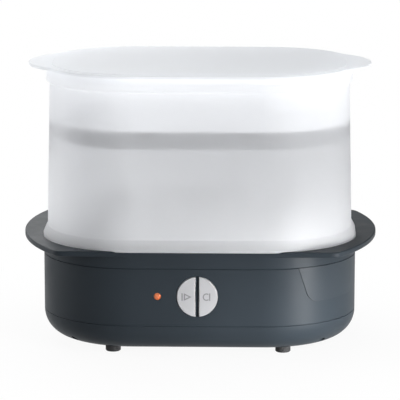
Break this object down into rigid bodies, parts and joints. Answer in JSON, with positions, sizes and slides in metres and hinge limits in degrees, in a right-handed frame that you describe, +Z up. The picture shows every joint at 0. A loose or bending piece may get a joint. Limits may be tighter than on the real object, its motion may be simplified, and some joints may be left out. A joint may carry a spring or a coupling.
{
  "type": "electric steam sterilizer",
  "caption": "Countertop steam sterilizer: charcoal base with heating dish, frosted open tank, slotted tray and rack, and a lid with two end grips.",
  "frame": {"origin": "on the surface it stands on, under the middle of the base", "axes": "+X to the right seen from the controls, +Y to the back, +Z up; the controls face -Y"},
  "size_m": [0.33, 0.202, 0.2592],
  "materials": {
    "base_plastic": "satin charcoal slate",
    "badge_plastic": "satin, a little lighter than the base",
    "rubber_foot": "matt",
    "screw_steel": "zinc plated",
    "plate_steel": "brushed stainless",
    "seal_rubber": "silicone, matt",
    "bracket_steel": "bare pressed sheet",
    "element_steel": "dull sheath",
    "thermostat_metal": "bare",
    "fuse_metal": "bare",
    "button_silver": "satin silver paint",
    "lamp_orange": "clear orange",
    "led_resin": "clear",
    "board_green": "solder mask",
    "switch_plastic": "moulded",
    "relay_plastic": "moulded",
    "capacitor_metal": "sleeved can",
    "gland_plastic": "moulded nylon",
    "block_plastic": "moulded nylon",
    "wire_insulation": "silicone sleeve",
    "frosted_plastic": "frosted, see-through",
    "tray_plastic": "satin mid grey",
    "rack_plastic": "satin mid grey",
    "lid_plastic": "fine frosted white"
  },
  "bodies": {
    "base": {"upper_deck": "base_plastic", "casing_front": "base_plastic", "casing_back": "base_plastic", "casing_left": "base_plastic", "casing_right": "base_plastic", "base_pan": "base_plastic", "badge_panel": "badge_plastic", "rubber_feet": "rubber_foot", "casing_screws": "screw_steel", "heating_plate": "plate_steel", "plate_seal": "seal_rubber", "plate_clamps": "bracket_steel", "clamp_screws": "screw_steel", "heating_element": "element_steel", "thermostat": "thermostat_metal", "thermal_fuse": "fuse_metal", "fuse_clip": "bracket_steel", "button_housing": "base_plastic", "lamp_lens": "lamp_orange", "indicator_led": "led_resin", "control_board": "board_green", "board_screws": "screw_steel", "tact_switches": "switch_plastic", "relay": "relay_plastic", "capacitor": "capacitor_metal", "cord_gland": "gland_plastic", "gland_nut": "gland_plastic", "terminal_block": "block_plastic", "power_leads": "wire_insulation"},
    "tank_body": {"tank": "frosted_plastic"},
    "lid_body": {"lid": "lid_plastic"},
    "tray_body": {"upper_tray": "tray_plastic"},
    "rack_body": {"lower_rack": "rack_plastic", "rack_handle": "rack_plastic"},
    "start_body": {"start_button": "button_silver"},
    "stop_body": {"stop_button": "button_silver"}
  },
  "joints": [
    {"name": "tank_lift", "type": "slide", "parent": "base", "child": "tank_body", "axis": [0, 0, 1], "range_m": [0, 0.22]},
    {"name": "lid_lift", "type": "slide", "parent": "tank_body", "child": "lid_body", "axis": [0, 0, 1], "range_m": [0, 0.18]},
    {"name": "tray_lift", "type": "slide", "parent": "tank_body", "child": "tray_body", "axis": [0, 0, 1], "range_m": [0, 0.09]},
    {"name": "rack_lift", "type": "slide", "parent": "base", "child": "rack_body", "axis": [0, 0, 1], "range_m": [0, 0.11]},
    {"name": "start_press", "type": "slide", "parent": "base", "child": "start_body", "axis": [0, 1, 0], "range_m": [0, 0.0012], "stiffness_N_per_m": 800},
    {"name": "stop_press", "type": "slide", "parent": "base", "child": "stop_body", "axis": [0, 1, 0], "range_m": [0, 0.0012], "stiffness_N_per_m": 800}
  ],
  "couplings": [
    {"joint": "tray_lift", "follows": "lid_lift", "ratio": 0.5},
    {"joint": "rack_lift", "follows": "tank_lift", "ratio": 0.5}
  ]
}
